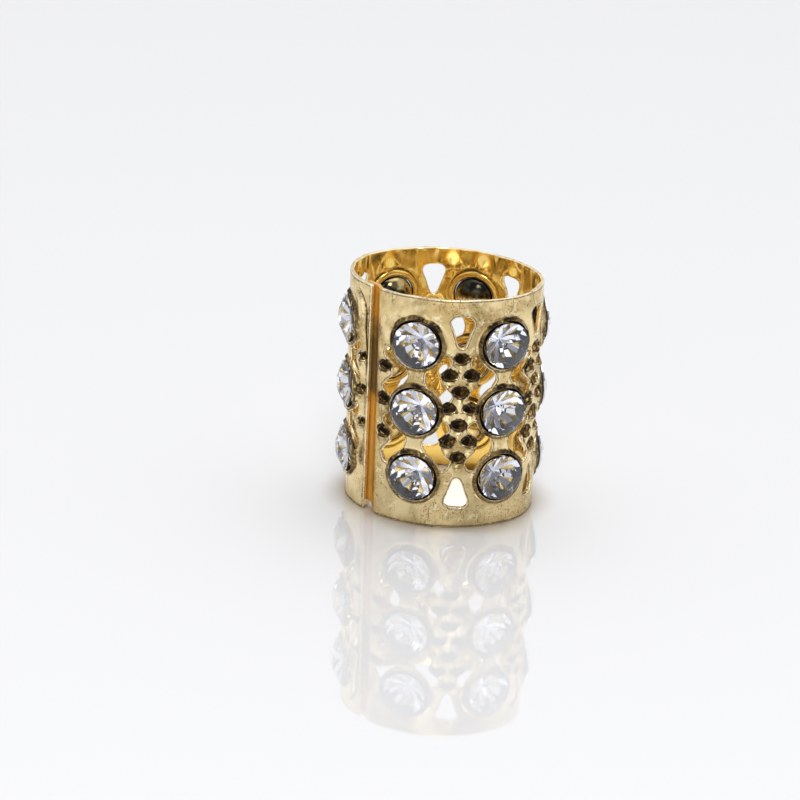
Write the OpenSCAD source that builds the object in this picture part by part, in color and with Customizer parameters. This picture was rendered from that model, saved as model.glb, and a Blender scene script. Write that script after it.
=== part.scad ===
// Dreadlock ring: a stamped and pierced brass strip, rolled into an oval tube and set with cut glass stones.
// The tube stands on its lower rim with its axis on Z, the oval's long axis on X and the overlap facing -Y.

/* [Ring] */
// Height of the strip
ring_h = 16; // [15.8:0.1:17]
// Outer length of the oval, along X
oval_l = 12.85; // [12.7:0.05:13.1]
// Distance of the arcs' centres from the ring's axis, which makes the oval slim or round
oval_shift = 2.34227; // [2.1:0.00001:2.5]
// Thickness of the sheet
wall = 0.3; // [0.25:0.01:0.35]

/* [Stones] */
// Distance from one column of stones to the next, along the outer face
col_pitch = 5.9; // [5.85:0.01:5.95]
// Distance from one row of stones to the next
row_pitch = 4.68; // [4.6:0.02:4.8]
// Radius of a stone at its girdle
stone_r = 1.53; // [1.45:0.01:1.56]
// How far a stone's table stands above the strip
stone_proud = 0.66; // [0.6:0.02:0.8]

/* [Piercing] */
// Half the width of a chevron's arm
chevron_r = 0.38; // [0.34:0.01:0.4]
// Height of a teardrop opening
drop_h = 2.1; // [1.8:0.1:2.2]
// Half the width of a scale's mouth
mouth_r = 0.42; // [0.38:0.01:0.44]
// Distance from one scale to the next one above it
scale_pitch = 2.28; // [2.24:0.01:2.32]

/* [Hidden] */
COLUMNS = 6;
ROWS = ["low", "mid", "top"];
$fn = 48;
// Degrees in a radian
deg = 180 / PI;

// The oval's outline is four arcs that meet at 45 degrees, two small ones on X and two large ones on Y.
small_r = oval_l / 2 - oval_shift;
large_r = small_r + sqrt(2) * oval_shift;
// Lengths along the strip's outer face
large_half = large_r * PI / 4;
small_arc = small_r * PI / 2;
whole_way = PI * (small_r + large_r);

// Places along the strip are measured from the middle of the front, and grow towards +X.
first_col = -0.7;
mid_row = 8.13;
// The strip was cut off through a panel of the pattern, so its two ends meet in half panels.
bend = first_col - 2.85;
tab_start = bend - 0.65;
tab_end = bend - 1.75;
tab_corner = 0.5;
// The outer end's edge leans: its top lies nearer to the bend than its foot.
edge_top = bend - 0.8;
edge_foot = bend - 1.05;
tab_gap = 0.1;
tab_r = large_r - wall - tab_gap;
// How far the step's middle reaches into the sheet on both sides, to join them
grip = 0.1;
// A cutter reaches this far below and above the outer face, and past an end of the strip.
cut_in = 1.2;
cut_out = 0.8;
past = 2;

// A stone's seat is a shallow pan with a thin raised collar and a ledge round the stone's back.
collar_gap = 0.17;
collar_t = 0.15;
collar_in = stone_r + collar_gap;
collar_out = collar_in + collar_t;
collar_up = 0.16;
ledge_depth = 0.3;
ledge_t = 0.25;
seat_gap = 0.06;

// The cut of a stone
facets = 8;
crown_h = 0.52;
girdle_h = 0.12;
pavilion_h = 1.2;
table_r = 0.56 * stone_r;
star_r = 0.8 * stone_r;
star_drop = 0.22;
girdle_top = stone_proud - crown_h;
girdle_foot = girdle_top - girdle_h;
culet = girdle_foot - pavilion_h;
seat_r = stone_r * (-ledge_depth - culet) / pavilion_h + seat_gap;

// The bridge between two stones of a column, and the chevrons beside it
bridge_half = 0.6;
chevron_reach = 0.89;
chevron_rise = 1.25;
// The teardrops near the rims
drop_top = 13.77;
drop_low = 2.5;
drop_half = 0.77;
drop_wide_r = 0.38;
drop_tip_r = 0.25;
// A scale is half a hollow dome over a round hole, with its mouth facing up.
scale_side = 0.72;
scale_lift = 0.2;
hood_r = 0.52;
hood_t = 0.12;
hood_sink = 0.2;
hood_foot = 0.2;

function col_at(c) = first_col + (c - 1) * col_pitch;
function row_at(r) = mid_row + (r - 1) * row_pitch;

// Direction of the outward normal at the place s, in degrees from +X
function normal_at(s) =
    let (t = s < -large_half ? s + whole_way : s)
    t <= large_half ? t / large_r * deg - 90
    : t <= large_half + small_arc ? (t - large_half) / small_r * deg - 45
    : t <= 3 * large_half + small_arc ? (t - large_half - small_arc) / large_r * deg + 45
    : (t - 3 * large_half - small_arc) / small_r * deg + 135;

// Centre and radius of the arc with this normal
function arc_at(a) =
    a < -45 ? [0, oval_shift, large_r]
    : a <= 45 ? [oval_shift, 0, small_r]
    : a <= 135 ? [0, -oval_shift, large_r]
    : [-oval_shift, 0, small_r];

// A point of the front arc's radius r, straight behind the place s
function front_point(r, s) = [r * sin(s / large_r * deg), oval_shift - r * cos(s / large_r * deg)];

// Lays children on the strip: their X runs along it, their Y up, and their Z outwards from its outer face.
module on_strip(s, z) {
    a = normal_at(s);
    arc = arc_at(a);
    translate([arc[0], arc[1], z]) rotate([0, 0, a]) translate([arc[2], 0, 0]) rotate([90, 0, 90]) children();
}

// A prism through the sheet, with the children's outline
module through() {
    translate([0, 0, -cut_in]) linear_extrude(cut_in + cut_out) children();
}

// Bent sheet along one arc, from the angle a1 to a2
module bent_sheet(shift, outer_r, a1, a2) {
    translate(shift) rotate_extrude(angle = a2 - a1, start = a1)
        translate([outer_r - wall, 0]) square([wall, ring_h]);
}

module front_sheet(outer_r, s1, s2) {
    bent_sheet([0, oval_shift, 0], outer_r, s1 / large_r * deg - 90, s2 / large_r * deg - 90);
}

// The inner end steps in behind the outer end and runs on under it as a short tab with a cut corner.
module inner_end() {
    difference() {
        union() {
            front_sheet(large_r, bend, large_half);
            linear_extrude(ring_h) polygon([
                front_point(large_r, bend), front_point(tab_r, tab_start),
                front_point(tab_r - wall / 2, tab_start - grip), front_point(tab_r - wall, tab_start),
                front_point(large_r - wall, bend), front_point(large_r - wall / 2, bend + grip)]);
            front_sheet(tab_r, tab_end, tab_start);
        }
        on_strip(bend - grip, 0) through()
            polygon([[-past, -past], [0, -past], [0, 0], [-tab_corner, tab_corner], [-past, tab_corner]]);
        piercing();
    }
}

// The outer end lies over the tab.
module outer_end() {
    difference() {
        front_sheet(large_r, -large_half, edge_top);
        on_strip(edge_top, 0) through()
            polygon([[edge_foot - edge_top, 0], [0, -past], [past, ring_h], [0, ring_h + past], [0, ring_h]]);
        piercing();
        mouths(outer_end_scales);
    }
}

// The rest of the tube, one arc at a time
module pierced_sheet(shift, outer_r, a1, a2) {
    difference() {
        bent_sheet(shift, outer_r, a1, a2);
        piercing();
    }
}

// A slot with round ends of radius r, from a to b
module slot(a, b, r) {
    d = b - a;
    translate(a) circle(r);
    translate(b) circle(r);
    translate(a) rotate(atan2(d[1], d[0])) translate([0, -r]) square([norm(d), 2 * r]);
}

// A chevron points at the bridge, and its two arms reach away round the stones above and below.
module chevron(side) {
    point = [side * (bridge_half + chevron_r), 0];
    slot(point, point + [side * chevron_reach, chevron_rise], chevron_r);
    slot(point, point + [side * chevron_reach, -chevron_rise], chevron_r);
}

// The straight side between two circles that roll along it on its left: radius ra at a, rb at b
function side_of(a, ra, b, rb) =
    let (d = b - a, t = atan2(d[1], d[0]) - acos((ra - rb) / norm(d)), n = [cos(t), sin(t)])
    [a + ra * n, b + rb * n];

// A teardrop with its wide end up, centred on its own height
module teardrop() {
    left = [drop_wide_r - drop_half, drop_h / 2 - drop_wide_r];
    right = [drop_half - drop_wide_r, left[1]];
    tip = [0, drop_tip_r - drop_h / 2];
    translate(left) circle(drop_wide_r);
    translate(right) circle(drop_wide_r);
    translate(tip) circle(drop_tip_r);
    polygon(concat(
        side_of(left, drop_wide_r, tip, drop_tip_r),
        side_of(tip, drop_tip_r, right, drop_wide_r),
        side_of(right, drop_wide_r, left, drop_wide_r)));
}

// The pan that holds one stone
module seat() {
    rotate_extrude() polygon([
        [seat_r, -ledge_depth], [collar_in, -ledge_depth], [collar_in, collar_up],
        [collar_out, collar_up], [collar_out, -ledge_depth - ledge_t], [seat_r, -ledge_depth - ledge_t]]);
}

// The half dome of a scale, with its foot in the sheet
module scale_hood() {
    translate([0, 0, -hood_sink]) rotate([0, 0, 180]) rotate_extrude(angle = 180) intersection() {
        difference() {
            circle(hood_r);
            circle(hood_r - hood_t);
        }
        translate([0, hood_sink - hood_foot]) square(hood_r);
    }
}

// Scales stand in three short columns in the middle of a panel; each side column has one fewer.
function middle_scales(s) = [for (i = [-1.5:1.5]) [s, mid_row + scale_lift + i * scale_pitch]];
function side_scales(s) = [for (i = [-1:1]) [s, mid_row + scale_lift + i * scale_pitch]];
scales = concat(
    [for (c = [1:COLUMNS - 1]) let (s = col_at(c) + col_pitch / 2)
        each concat(middle_scales(s), side_scales(s - scale_side), side_scales(s + scale_side))],
    side_scales(col_at(1) - col_pitch / 2 + scale_side));
outer_end_scales = side_scales(col_at(COLUMNS) - whole_way + col_pitch / 2 - scale_side);

module mouths(places) {
    for (p = places) on_strip(p[0], p[1]) through() circle(mouth_r);
}

// Everything that is cut through the sheet, but for the scales of the outer end
module piercing() {
    for (c = [1:COLUMNS]) for (r = [0:2]) on_strip(col_at(c), row_at(r))
        through() circle((collar_in + collar_out) / 2);
    for (c = [1:COLUMNS]) for (r = [0:1]) for (side = [-1, 1]) on_strip(col_at(c), row_at(r) + row_pitch / 2)
        through() chevron(side);
    for (c = [1:COLUMNS - 1]) on_strip(col_at(c) + col_pitch / 2, 0) through() {
        translate([0, drop_top]) teardrop();
        translate([0, drop_low]) mirror([0, 1]) teardrop();
    }
    mouths(scales);
}

module cuff() {
    color("goldenrod") union() {
        outer_end();
        inner_end();
        pierced_sheet([oval_shift, 0, 0], small_r, -45, 45);
        pierced_sheet([0, -oval_shift, 0], large_r, 45, 135);
        pierced_sheet([-oval_shift, 0, 0], small_r, 135, 225);
        for (c = [1:COLUMNS]) for (r = [0:2]) on_strip(col_at(c), row_at(r)) seat();
        for (p = concat(scales, outer_end_scales)) on_strip(p[0], p[1]) scale_hood();
    }
}

function ring_of(n, r, z, start) = [for (i = [0:n - 1]) let (a = start + i * 360 / n) [r * cos(a), r * sin(a), z]];

// A round stone: an eight-sided table, star and main facets down to the girdle, and a pointed back
module cut_stone() {
    step = 180 / facets;
    points = concat(
        ring_of(facets, table_r, stone_proud, 0),
        ring_of(facets, star_r, stone_proud - star_drop, step),
        ring_of(2 * facets, stone_r, girdle_top, 0),
        ring_of(2 * facets, stone_r, girdle_foot, 0),
        [[0, 0, culet]]);
    hull() polyhedron(points, [[for (i = [0:len(points) - 1]) i]]);
}

module stone(c, r) {
    on_strip(col_at(c), row_at(r)) color("whitesmoke") cut_stone();
}

cuff();
for (c = [1:COLUMNS]) for (r = [0:2])
    stone(c, r);
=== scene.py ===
import math
import bpy
import numpy as np
from mathutils import Matrix, Vector, noise
from mathutils.geometry import delaunay_2d_cdt


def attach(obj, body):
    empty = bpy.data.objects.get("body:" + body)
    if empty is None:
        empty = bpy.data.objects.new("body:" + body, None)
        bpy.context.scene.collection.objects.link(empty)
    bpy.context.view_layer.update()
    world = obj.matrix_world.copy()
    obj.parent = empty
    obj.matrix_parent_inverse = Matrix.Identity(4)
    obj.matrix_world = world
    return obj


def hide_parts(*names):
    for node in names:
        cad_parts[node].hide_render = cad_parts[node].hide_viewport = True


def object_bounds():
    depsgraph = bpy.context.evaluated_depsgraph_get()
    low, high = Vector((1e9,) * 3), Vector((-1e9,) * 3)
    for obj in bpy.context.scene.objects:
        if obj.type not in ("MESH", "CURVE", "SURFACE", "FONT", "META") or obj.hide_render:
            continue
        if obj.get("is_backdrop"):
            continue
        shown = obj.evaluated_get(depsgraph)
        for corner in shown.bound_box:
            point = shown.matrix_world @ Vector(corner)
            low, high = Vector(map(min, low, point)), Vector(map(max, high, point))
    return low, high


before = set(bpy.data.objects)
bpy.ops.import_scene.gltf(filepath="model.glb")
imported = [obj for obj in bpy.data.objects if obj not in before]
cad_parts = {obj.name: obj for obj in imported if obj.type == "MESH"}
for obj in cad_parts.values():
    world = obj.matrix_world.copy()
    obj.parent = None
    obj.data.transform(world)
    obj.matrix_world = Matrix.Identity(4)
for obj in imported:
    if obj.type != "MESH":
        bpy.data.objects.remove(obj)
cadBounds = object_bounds()
mm = 0.001
scene = bpy.context.scene

# Everything on the strip is placed by s, the way along its outer face from the middle of the front to +X,
# z, the height, and depth, the way outwards from the outer face. All of these are in millimetres.
ring = {
    "length": 12.85,
    "centreShift": 2.34227,
    "height": 16.0,
    "wall": 0.3,
    "firstColumn": -0.7,
    "columnPitch": 5.9,
    "columns": 6,
    "middleRow": 8.13,
    "rowPitch": 4.68,
}
smallR = ring["length"] / 2 - ring["centreShift"]
largeR = smallR + math.sqrt(2) * ring["centreShift"]
largeHalf = largeR * math.pi / 4
smallArc = smallR * math.pi / 2
wholeWay = math.pi * (smallR + largeR)
columnPlaces = [ring["firstColumn"] + i * ring["columnPitch"] for i in range(ring["columns"])]
rowPlaces = [ring["middleRow"] + i * ring["rowPitch"] for i in (-1, 0, 1)]
stonePlaces = [(s, z) for s in columnPlaces for z in rowPlaces]
panelPlaces = [s + ring["columnPitch"] / 2 for s in columnPlaces[:-1]]


def ovalAt(s):
    # x, y of the outer face and the outward normal at the places s, which may be an array.
    t = np.mod(np.asarray(s, float) + largeHalf, wholeWay) - largeHalf
    e1 = largeHalf
    e2 = e1 + smallArc
    e3 = e2 + 2 * largeHalf
    a = np.where(t <= e1, t / largeR - math.pi / 2,
        np.where(t <= e2, (t - e1) / smallR - math.pi / 4,
        np.where(t <= e3, (t - e2) / largeR + math.pi / 4, (t - e3) / smallR + 3 * math.pi / 4)))
    k = ring["centreShift"]
    cx = np.where((t > e1) & (t <= e2), k, np.where(t > e3, -k, 0.0))
    cy = np.where(t <= e1, k, np.where((t > e2) & (t <= e3), -k, 0.0))
    r = np.where((t <= e1) | ((t > e2) & (t <= e3)), largeR, smallR)
    nx, ny = np.cos(a), np.sin(a)
    return cx + r * nx, cy + r * ny, nx, ny


def onStrip(s, z, depth):
    x, y, nx, ny = ovalAt(s)
    return np.stack([x + depth * nx, y + depth * ny, np.broadcast_to(z, np.shape(x))], -1) * mm


def stripTurn(s):
    # Turn whose X runs along the strip, Y up and Z outwards.
    x, y, nx, ny = [float(v) for v in ovalAt(s)]
    return Matrix(((-ny, 0, nx), (nx, 0, ny), (0, 1, 0))).to_euler()


# The strip's pattern, drawn flat
pattern = {
    "step": 0.03,           # grid that the outlines are read from
    "edgeRound": 0.07,      # rounding of every cut edge
    "outerEdgeTop": -4.35,  # the outer end's leaning edge
    "outerEdgeFoot": -4.60,
    "tabEnd": -5.30,        # the inner end runs on under the outer end
    "tabFoot": 0.5,
    "tabCorner": -4.15,
    "cornerFoot": -3.65,
    "seatHole": 1.67,
    "seatRing": 1.92,       # no chevron reaches nearer to a stone than this
    "ridge": 0.24,          # least metal left beside a scale's mouth
    "dropTop": 13.77,
    "dropLow": 2.5,
    "scaleSide": 0.75,
    "scaleLift": 0.36,
    "scalePitch": 2.32,
    "outline": 0.55,        # dirt and painted shade along the cut edges
    "outlineReach": 0.075,
    "wobble": 0.035,        # the punch wasn't exact
    "seatPoints": 72,
    "endChevron": 0.8,      # the last chevrons are narrower
    "endScale": 0.75,       # and the last scales smaller
}
chevronLine = [(0.60, 0.0), (0.78, 0.50), (1.10, 0.98), (1.38, 1.55), (1.78, 1.78), (2.18, 1.62),
               (2.32, 1.16), (2.05, 0.78), (1.78, 0.50), (1.68, 0.18), (1.80, -0.25), (2.12, -0.66),
               (2.42, -1.08), (2.30, -1.52), (1.90, -1.74), (1.45, -1.60), (1.13, -1.05), (0.80, -0.50)]
dropLine = [(0.0, 1.06), (0.42, 1.05), (0.72, 0.86), (0.76, 0.52), (0.55, 0.0), (0.36, -0.56),
            (0.20, -0.95), (0.0, -1.06), (-0.20, -0.95), (-0.36, -0.56), (-0.55, 0.0), (-0.76, 0.52),
            (-0.72, 0.86), (-0.42, 1.05)]
mouthLine = [(-0.56, -0.06), (-0.42, 0.10), (-0.24, 0.32), (0.0, 0.42), (0.24, 0.32), (0.42, 0.10),
             (0.56, -0.06), (0.34, -0.18), (0.0, -0.26), (-0.34, -0.18)]


def roundLine(points, each=8):
    # A smooth closed line through the points.
    p = np.array(points, float)
    n = len(p)
    out = []
    for i in range(n):
        a, b, c, d = p[i - 1], p[i], p[(i + 1) % n], p[(i + 2) % n]
        for t in np.arange(each) / each:
            out.append(0.5 * (2 * b + (c - a) * t + (2 * a - 5 * b + 4 * c - d) * t * t
                              + (3 * b - a - 3 * c + d) * t ** 3))
    return np.array(out)


def lineDistance(px, pz, line):
    # Distance to a closed line, below zero inside it.
    best = np.full(px.shape, 1e9)
    inside = np.zeros(px.shape, bool)
    for a, b in zip(line, np.roll(line, -1, 0)):
        e = b - a
        wx, wz = px - a[0], pz - a[1]
        t = np.clip((wx * e[0] + wz * e[1]) / (e @ e + 1e-12), 0, 1)
        best = np.minimum(best, (wx - e[0] * t) ** 2 + (wz - e[1] * t) ** 2)
        crosses = ((a[1] > pz) != (b[1] > pz))
        with np.errstate(divide="ignore", invalid="ignore"):
            crosses &= px < (b[0] - a[0]) * (pz - a[1]) / (b[1] - a[1]) + a[0]
        inside ^= crosses
    return np.where(inside, -1, 1) * np.sqrt(best)


middleScales = [(s, ring["middleRow"] + pattern["scaleLift"] + i * pattern["scalePitch"])
                for s in panelPlaces for i in (-1.5, -0.5, 0.5, 1.5)]
sideColumns = [s + k * pattern["scaleSide"] for s in panelPlaces for k in (-1, 1)]
sideColumns += [columnPlaces[0] - ring["columnPitch"] / 2 + pattern["scaleSide"] - 0.1]
sideColumns += [columnPlaces[-1] + ring["columnPitch"] / 2 - pattern["scaleSide"]]
scalePlaces = middleScales + [(s, ring["middleRow"] + pattern["scaleLift"] + i * pattern["scalePitch"])
                              for s in sideColumns for i in (-1, 0, 1)]
chance = np.random.default_rng(11)
scaleSizes = 1 + chance.uniform(-0.09, 0.07, len(scalePlaces))
scaleSizes[-3:] *= pattern["endScale"]


def patternGrid():
    # Distance into the metal on a grid, below zero in it.
    k = pattern["step"]
    sAxis = np.arange(-5.6, wholeWay - 4.0, k)
    zAxis = np.arange(-0.3, ring["height"] + 0.3, k)
    gridS, gridZ = np.meshgrid(sAxis, zAxis, indexing="ij")
    h = ring["height"]
    outer = np.array([(pattern["tabEnd"], pattern["tabFoot"]), (pattern["tabCorner"], pattern["tabFoot"]),
                      (pattern["cornerFoot"], 0), (wholeWay + pattern["outerEdgeFoot"], 0),
                      (wholeWay + pattern["outerEdgeTop"], h), (pattern["tabEnd"], h)])
    f = lineDistance(gridS, gridZ, outer)

    def cut(s, z, line, keepRound=None, ridge=None):
        # Cuts an opening that stays outside keepRound of a stone and leaves a ridge to what is cut already.
        lo, hi = line.min(0) - 0.5, line.max(0) + 0.5
        i0, i1 = np.searchsorted(sAxis, (s + lo[0], s + hi[0]))
        j0, j1 = np.searchsorted(zAxis, (z + lo[1], z + hi[1]))
        px, pz = gridS[i0:i1, j0:j1], gridZ[i0:i1, j0:j1]
        d = lineDistance(px - s, pz - z, line)
        if keepRound:
            for cs, cz in stonePlaces:
                if abs(cs - s) < 3 and abs(cz - z) < 5:
                    d = np.maximum(d, keepRound - np.hypot(px - cs, pz - cz))
        if ridge:
            d = np.maximum(d, f[i0:i1, j0:j1] + ridge)
        f[i0:i1, j0:j1] = np.maximum(f[i0:i1, j0:j1], -d)

    w = pattern["wobble"]
    for s, z in stonePlaces:
        a = np.linspace(0, 2 * math.pi, pattern["seatPoints"], endpoint=False)
        cut(s, z, pattern["seatHole"] * np.stack([np.cos(a), np.sin(a)], 1))
    for s in columnPlaces:
        for z in (rowPlaces[0] + ring["rowPitch"] / 2, rowPlaces[1] + ring["rowPitch"] / 2):
            for side in (-1, 1):
                line = np.array(chevronLine) + chance.normal(0, w, (len(chevronLine), 2))
                narrow = pattern["endChevron"] if side > 0 and s == columnPlaces[-1] else 1
                cut(s, z, roundLine(line) * (side * narrow, 1), pattern["seatRing"])
    for s in panelPlaces:
        for z, flip in ((pattern["dropTop"], 1), (pattern["dropLow"], -1)):
            line = np.array(dropLine) + chance.normal(0, w * 0.5, (len(dropLine), 2))
            cut(s, z, roundLine(line) * (1, flip))
    for (s, z), size in zip(scalePlaces, scaleSizes):
        line = np.array(mouthLine) + chance.normal(0, w * 0.6, (len(mouthLine), 2))
        cut(s, z, roundLine(line) * size, None, pattern["ridge"])
    return sAxis, zAxis, f


def edgeLoops(sAxis, zAxis, f, spacing=0.1):
    # Closed lines where f is 0, with the metal on their left, resampled evenly.
    inside = f < 0
    mask = (inside[:-1, :-1] * 1 + inside[1:, :-1] * 2 + inside[1:, 1:] * 4 + inside[:-1, 1:] * 8)
    # for each pattern of metal at a cell's corners, the sides by which the line enters and leaves it
    way = {1: "bl", 2: "rb", 3: "rl", 4: "tr", 5: "bltr", 6: "tb", 7: "tl", 8: "lt", 9: "bt", 10: "rblt",
           11: "rt", 12: "lr", 13: "br", 14: "lb"}
    follow = {}
    for i, j in zip(*np.nonzero((mask > 0) & (mask < 15))):
        side = {"b": ("h", i, j), "t": ("h", i, j + 1), "l": ("v", i, j), "r": ("v", i + 1, j)}
        steps = way[mask[i, j]]
        for a, b in zip(steps[::2], steps[1::2]):
            follow[side[a]] = side[b]

    def place(key):
        kind, i, j = key
        i2, j2 = (i + 1, j) if kind == "h" else (i, j + 1)
        t = f[i, j] / (f[i, j] - f[i2, j2])
        return sAxis[i] + t * (sAxis[i2] - sAxis[i]), zAxis[j] + t * (zAxis[j2] - zAxis[j])

    loops = []
    while follow:
        start, key = follow.popitem()
        line = [place(start)]
        while key != start:
            line.append(place(key))
            key = follow.pop(key)
        line = np.array(line)
        for _ in range(2):
            line = 0.5 * line + 0.25 * (np.roll(line, 1, 0) + np.roll(line, -1, 0))
        passed = np.r_[0, np.cumsum(np.hypot(*(np.roll(line, -1, 0) - line).T))]
        n = max(16, int(passed[-1] / spacing))
        at = np.linspace(0, passed[-1], n, endpoint=False)
        closed = np.vstack([line, line[:1]])
        loops.append(np.stack([np.interp(at, passed, closed[:, 0]), np.interp(at, passed, closed[:, 1])], 1))
    return loops


# The strip's relief
relief = {
    "collarUp": 0.19,       # the sheet rises to each seat
    "collarTop": 1.74,
    "collarReach": 0.26,
    "lipUp": 0.19,          # the lower lip of a scale stands out
    "browDown": 0.05,
    "rollWave": 0.035,      # uneven bending
    "innerWave": 0.06,
    "innerRipple": 0.07,
    "flare": 0.10,          # the inner face leans outwards near the top, here and there
    "bulge": 0.25,          # hammer marks near the top of the inner face
    "dents": 0.012,
    "crease": 0.22,         # a fold mark in the outer end
    "creaseFoot": 2.2,
    "creaseTop": 15.7,
    "step": 0.36,           # the inner end steps in by this much
}
lip = {"low": 0.26, "half": 0.56, "wide": 0.40, "fadeDown": 0.50, "fadeUp": 0.28}
brow = {"wide": 0.66, "tall": 0.58, "at": 0.8, "fade": 0.35}
# Dark dirt, and painted shade where shade falls, for the finishes to read
sootAndShade = {
    "mouth": 0.8,           # in a scale's mouth
    "halo": 0.10,           # and round it
    "haloUneven": 0.8,
    "haloMost": 0.6,
    "belowShade": 0.42,           # painted shade below its corners
    # painted shade in the gap round each stone
    "seatGapShade": 0.80,
    "flankShade": 0.46,          # painted shade on the collars' flanks
    # more painted shade on the upper side of each flank
    "flankShadeUpper": 0.14,
    "flankShadeUneven": 0.35,
    # uneven darkening beside the fold
    "creaseSideDark": 0.6,
}
bulges = [(18.6, 14.80), (16.5, 14.85), (23.2, 14.55), (13.9, 14.7), (26.2, 14.75), (8.1, 14.6), (1.9, 14.7)]
creaseLine = [(-6.06, 15.5), (-5.50, 15.1), (-5.10, 14.6), (-4.94, 13.9), (-4.95, 12.7), (-4.86, 12.0),
              (-4.74, 11.2), (-4.72, 9.0), (-4.78, 6.0), (-4.85, 2.2)]


def smooth(t):
    t = np.clip(t, 0, 1)
    return t * t * (3 - 2 * t)


def noiseAt(s, z, size, seed):
    return np.array([noise.noise(Vector((a / size, b / size, seed))) for a, b in zip(s, z)])


def calmAt(s):
    # 0 at the overlap, which is rolled evenly, and 1 elsewhere.
    return smooth((s + 3.4) / 1.5) * smooth((wholeWay - 4.6 - s) / 1.2)


def rollWaves(s, z):
    bend = noiseAt(s, z * 0.18, 1.9, 3.0) + 0.45 * noiseAt(s, z * 0.35, 0.8, 8.0)
    weak = 0.0
    for c in columnPlaces:
        weak = weak - np.exp(-((s - c) / 1.3) ** 2)
    return relief["rollWave"] * (bend * 1.5 + 0.5 * weak) * calmAt(s)


def scaleHeights(s, z):
    # How far each place stands out of the rolled sheet at the scales, and its dark dirt and painted shade.
    up = np.zeros(len(s))
    dark = np.zeros(len(s))
    for (cs, cz), size in zip(scalePlaces, scaleSizes):
        near = np.nonzero((np.abs(s - cs) < 1.1) & (np.abs(z - cz) < 1.2))[0]
        x = (s[near] - cs) / size
        y = (z[near] - cz) / size
        lipY = -lip["low"] * (1 - (x / lip["half"]) ** 2)
        across = np.exp(-(x / lip["wide"]) ** 4)
        below = np.exp(-(np.maximum(lipY - y, 0) / lip["fadeDown"]) ** 2)
        above = smooth(1 - (y - lipY) / lip["fadeUp"])
        up[near] += relief["lipUp"] * across * below * above
        over = np.hypot(x / brow["wide"], (y - 0.1) / brow["tall"])
        up[near] -= relief["browDown"] * np.exp(-((over - brow["at"]) / brow["fade"]) ** 2) * (y > lipY)
        mouth = np.maximum(np.hypot(x / 0.60, (y - 0.07) / 0.42) - 0.9, 0)
        spot = sootAndShade["mouth"] * np.exp(-(mouth / 0.14) ** 2)
        halo = sootAndShade["halo"] + sootAndShade["haloUneven"] * noiseAt(s[near], z[near], 0.28, 91.0)
        around = smooth((1.25 - np.hypot(x / 0.8, (y + 0.1) / 0.75)) / 0.35)
        spot = np.maximum(spot, np.clip(halo, 0, sootAndShade["haloMost"]) * around)
        # painted shade below the mouth's corners
        aside = (np.abs(x) - 0.42 * smooth((0.1 - y) / 0.9)) / 0.16
        belowShade = sootAndShade["belowShade"] * np.exp(-aside ** 2 - ((y + 0.42) / 0.30) ** 2)
        dark[near] = np.maximum(dark[near], np.maximum(spot, belowShade))
    return up, dark


def creaseAt(z):
    line = np.array(creaseLine)[::-1]
    return np.interp(z, line[:, 1], line[:, 0]) + wholeWay


def outerHeights(s, z):
    up, grimeAndShade = scaleHeights(s, z)
    h = rollWaves(s, z) + up
    seat = pattern["seatHole"] + 0.01
    for cs, cz in stonePlaces:
        r = np.hypot(s - cs, z - cz)
        h = h + relief["collarUp"] * smooth(1 - (r - relief["collarTop"]) / relief["collarReach"])
        # painted shade in the gap round the seat
        grimeAndShade = np.maximum(grimeAndShade, sootAndShade["seatGapShade"] * np.exp(-((r - seat) / 0.07) ** 2))
        foot = 2.00 + 0.06 * noiseAt(s, z, 0.8, 43.0)
        # painted shade on the collar's flank, heavier on its upper side
        flankShade = smooth((r - seat) / 0.05) * smooth((foot - r) / 0.08)
        upper = 0.5 + 0.5 * np.sin(np.arctan2(z - cz, s - cs))
        shade = sootAndShade["flankShade"] + sootAndShade["flankShadeUpper"] * upper + sootAndShade["flankShadeUneven"] * noiseAt(s, z, 0.9, 41.0)
        grimeAndShade = np.maximum(grimeAndShade, flankShade * shade)
    x = creaseAt(z)
    onOuter = smooth((s - (wholeWay - 7.5)) / 0.6)
    onOuter = onOuter * smooth((z - relief["creaseFoot"]) / 1.2) * smooth((relief["creaseTop"] - z) / 0.6)
    deep = smooth((z - 9.0) / 3.0) * 0.7 + 0.3
    h = h - relief["crease"] * deep * np.exp(-((s - x) / 0.19) ** 2) * onOuter
    h = h + relief["crease"] * deep * 0.5 * np.exp(-((s - x + 0.45) / 0.25) ** 2) * onOuter
    # uneven darkening along one side of the fold
    sideDark = np.clip(0.25 + noiseAt(s, z * 0.2, 0.5, 51.0), 0, 1)
    sideDark = sootAndShade["creaseSideDark"] * sideDark * smooth((x - s) / 0.1) * smooth((s - x + 0.9) / 0.5)
    # painted shade along the fold's furrow
    grimeAndShade = np.maximum(grimeAndShade, (0.3 + 0.5 * deep) * np.exp(-((s - x) / 0.13) ** 2) * onOuter)
    grimeAndShade = np.maximum(grimeAndShade, sideDark * onOuter)
    h = h + relief["dents"] * noiseAt(s, z, 0.55, 21.0)
    return h, grimeAndShade


def innerHeights(s, z, h):
    # The inner face follows the outer one, with waves of its own, a flare and hammer marks near the top.
    ridges = noiseAt(s, z * 0.10, 1.7, 31.0) + 0.5 * noiseAt(s, z * 0.5, 2.6, 35.0)
    ripples = noiseAt(s * 0.7, z * 0.9, 2.2, 61.0) * smooth((z - 11.0) / 2.0)
    waves = relief["innerWave"] * ridges + relief["innerRipple"] * ripples
    back = np.minimum(h, 0.25) * 0.8 + waves * calmAt(s)
    flare = smooth(0.5 + 1.6 * noiseAt(s, z * 0.1, 1.3, 81.0)) * calmAt(s)
    back = back + relief["flare"] * flare * np.maximum((z - 14.2) / 1.8, 0) ** 1.6
    for bs, bz in bulges:
        back = back - relief["bulge"] * np.exp(-((s - bs) / 0.48) ** 2 - ((z - bz) / 0.62) ** 2)
    return back


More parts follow.
